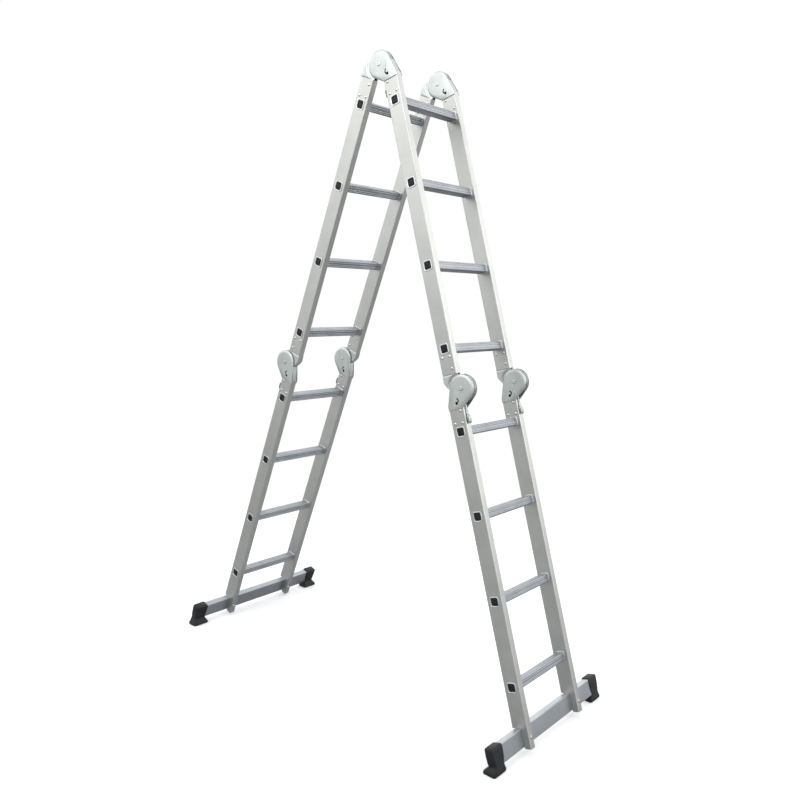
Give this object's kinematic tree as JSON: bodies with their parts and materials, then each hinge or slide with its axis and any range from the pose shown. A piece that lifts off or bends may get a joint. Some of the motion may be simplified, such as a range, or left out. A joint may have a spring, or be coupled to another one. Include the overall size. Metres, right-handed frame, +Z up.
{
  "type": "multi position ladder",
  "caption": "Folding aluminium ladder in hinged sections, standing as an A-frame on two stabiliser bars with rubber boots.",
  "frame": {"origin": "on the floor, in the middle of the four feet, with the ladder standing as an A-frame", "axes": "+Z up, the tallest extent; +X along the rungs to the right, the ladder's symmetry axis; -Y towards the front leg, +Y towards the back leg"},
  "size_m": [0.714, 1.5564, 2.23],
  "materials": {
    "extruded_aluminium": "satin mill finish extrusion",
    "rung_aluminium": "satin grooved extrusion",
    "zinc_plated_steel": "bright zinc plate",
    "fastener_steel": "bright zinc plate",
    "black_rubber": "moulded matt rubber",
    "black_plastic": "moulded matt plastic"
  },
  "bodies": {
    "upper_front": {"upper_front_left_stile": "extruded_aluminium", "upper_front_right_stile": "extruded_aluminium", "upper_front_rung_1": "rung_aluminium", "upper_front_rung_2": "rung_aluminium", "upper_front_rung_3": "rung_aluminium", "upper_front_rung_4": "rung_aluminium", "upper_front_rung_plugs": "black_plastic", "upper_front_rivets": "fastener_steel", "top_hinge_covers": "zinc_plated_steel", "front_hinge_knuckles": "zinc_plated_steel", "front_hinge_axles": "zinc_plated_steel"},
    "lower_front": {"lower_front_left_stile": "extruded_aluminium", "lower_front_right_stile": "extruded_aluminium", "lower_front_rung_1": "rung_aluminium", "lower_front_rung_2": "rung_aluminium", "lower_front_rung_3": "rung_aluminium", "lower_front_rung_4": "rung_aluminium", "lower_front_rung_plugs": "black_plastic", "lower_front_rivets": "fastener_steel", "front_hinge_covers": "zinc_plated_steel", "front_stabiliser_bar": "extruded_aluminium", "front_left_boot": "black_rubber", "front_right_boot": "black_rubber", "front_bar_bolts": "fastener_steel"},
    "upper_back": {"upper_back_left_stile": "extruded_aluminium", "upper_back_right_stile": "extruded_aluminium", "upper_back_rung_1": "rung_aluminium", "upper_back_rung_2": "rung_aluminium", "upper_back_rung_3": "rung_aluminium", "upper_back_rung_4": "rung_aluminium", "upper_back_rung_plugs": "black_plastic", "upper_back_rivets": "fastener_steel", "top_hinge_knuckles": "zinc_plated_steel", "back_hinge_knuckles": "zinc_plated_steel", "back_hinge_axles": "zinc_plated_steel"},
    "lower_back": {"lower_back_left_stile": "extruded_aluminium", "lower_back_right_stile": "extruded_aluminium", "lower_back_rung_1": "rung_aluminium", "lower_back_rung_2": "rung_aluminium", "lower_back_rung_3": "rung_aluminium", "lower_back_rung_4": "rung_aluminium", "lower_back_rung_plugs": "black_plastic", "lower_back_rivets": "fastener_steel", "back_hinge_covers": "zinc_plated_steel", "back_stabiliser_bar": "extruded_aluminium", "back_left_boot": "black_rubber", "back_right_boot": "black_rubber", "back_bar_bolts": "fastener_steel"},
    "top_left_lever": {"top_left_release_lever": "zinc_plated_steel", "top_left_lock_pin": "zinc_plated_steel"},
    "top_right_lever": {"top_right_release_lever": "zinc_plated_steel", "top_right_lock_pin": "zinc_plated_steel"},
    "front_left_lever": {"front_left_release_lever": "zinc_plated_steel", "front_left_lock_pin": "zinc_plated_steel"},
    "front_right_lever": {"front_right_release_lever": "zinc_plated_steel", "front_right_lock_pin": "zinc_plated_steel"},
    "back_left_lever": {"back_left_release_lever": "zinc_plated_steel", "back_left_lock_pin": "zinc_plated_steel"},
    "back_right_lever": {"back_right_release_lever": "zinc_plated_steel", "back_right_lock_pin": "zinc_plated_steel"}
  },
  "joints": [
    {"name": "top_fold", "type": "hinge", "parent": "upper_front", "child": "upper_back", "pos_m": [0, -0.00712, 2.184], "axis": [-1, 0, 0], "range_deg": [-143.4, 36.6]},
    {"name": "front_fold", "type": "hinge", "parent": "upper_front", "child": "lower_front", "pos_m": [0, -0.424, 1.14642], "axis": [-1, 0, 0], "range_deg": [0, 180]},
    {"name": "back_fold", "type": "hinge", "parent": "upper_back", "child": "lower_back", "pos_m": [0, 0.40975, 1.14642], "axis": [1, 0, 0], "range_deg": [0, 180]},
    {"name": "top_left_release", "type": "slide", "parent": "upper_front", "child": "top_left_lever", "axis": [0, -0.314, -0.9494], "range_m": [0, 0.008], "stiffness_N_per_m": 600, "springref_m": -0.006},
    {"name": "top_right_release", "type": "slide", "parent": "upper_front", "child": "top_right_lever", "axis": [0, -0.314, -0.9494], "range_m": [0, 0.008], "stiffness_N_per_m": 600, "springref_m": -0.006},
    {"name": "front_left_release", "type": "slide", "parent": "lower_front", "child": "front_left_lever", "axis": [0, -0.314, -0.9494], "range_m": [0, 0.008], "stiffness_N_per_m": 600, "springref_m": -0.006},
    {"name": "front_right_release", "type": "slide", "parent": "lower_front", "child": "front_right_lever", "axis": [0, -0.314, -0.9494], "range_m": [0, 0.008], "stiffness_N_per_m": 600, "springref_m": -0.006},
    {"name": "back_left_release", "type": "slide", "parent": "lower_back", "child": "back_left_lever", "axis": [0, 0.314, -0.9494], "range_m": [0, 0.008], "stiffness_N_per_m": 600, "springref_m": -0.006},
    {"name": "back_right_release", "type": "slide", "parent": "lower_back", "child": "back_right_lever", "axis": [0, 0.314, -0.9494], "range_m": [0, 0.008], "stiffness_N_per_m": 600, "springref_m": -0.006}
  ]
}
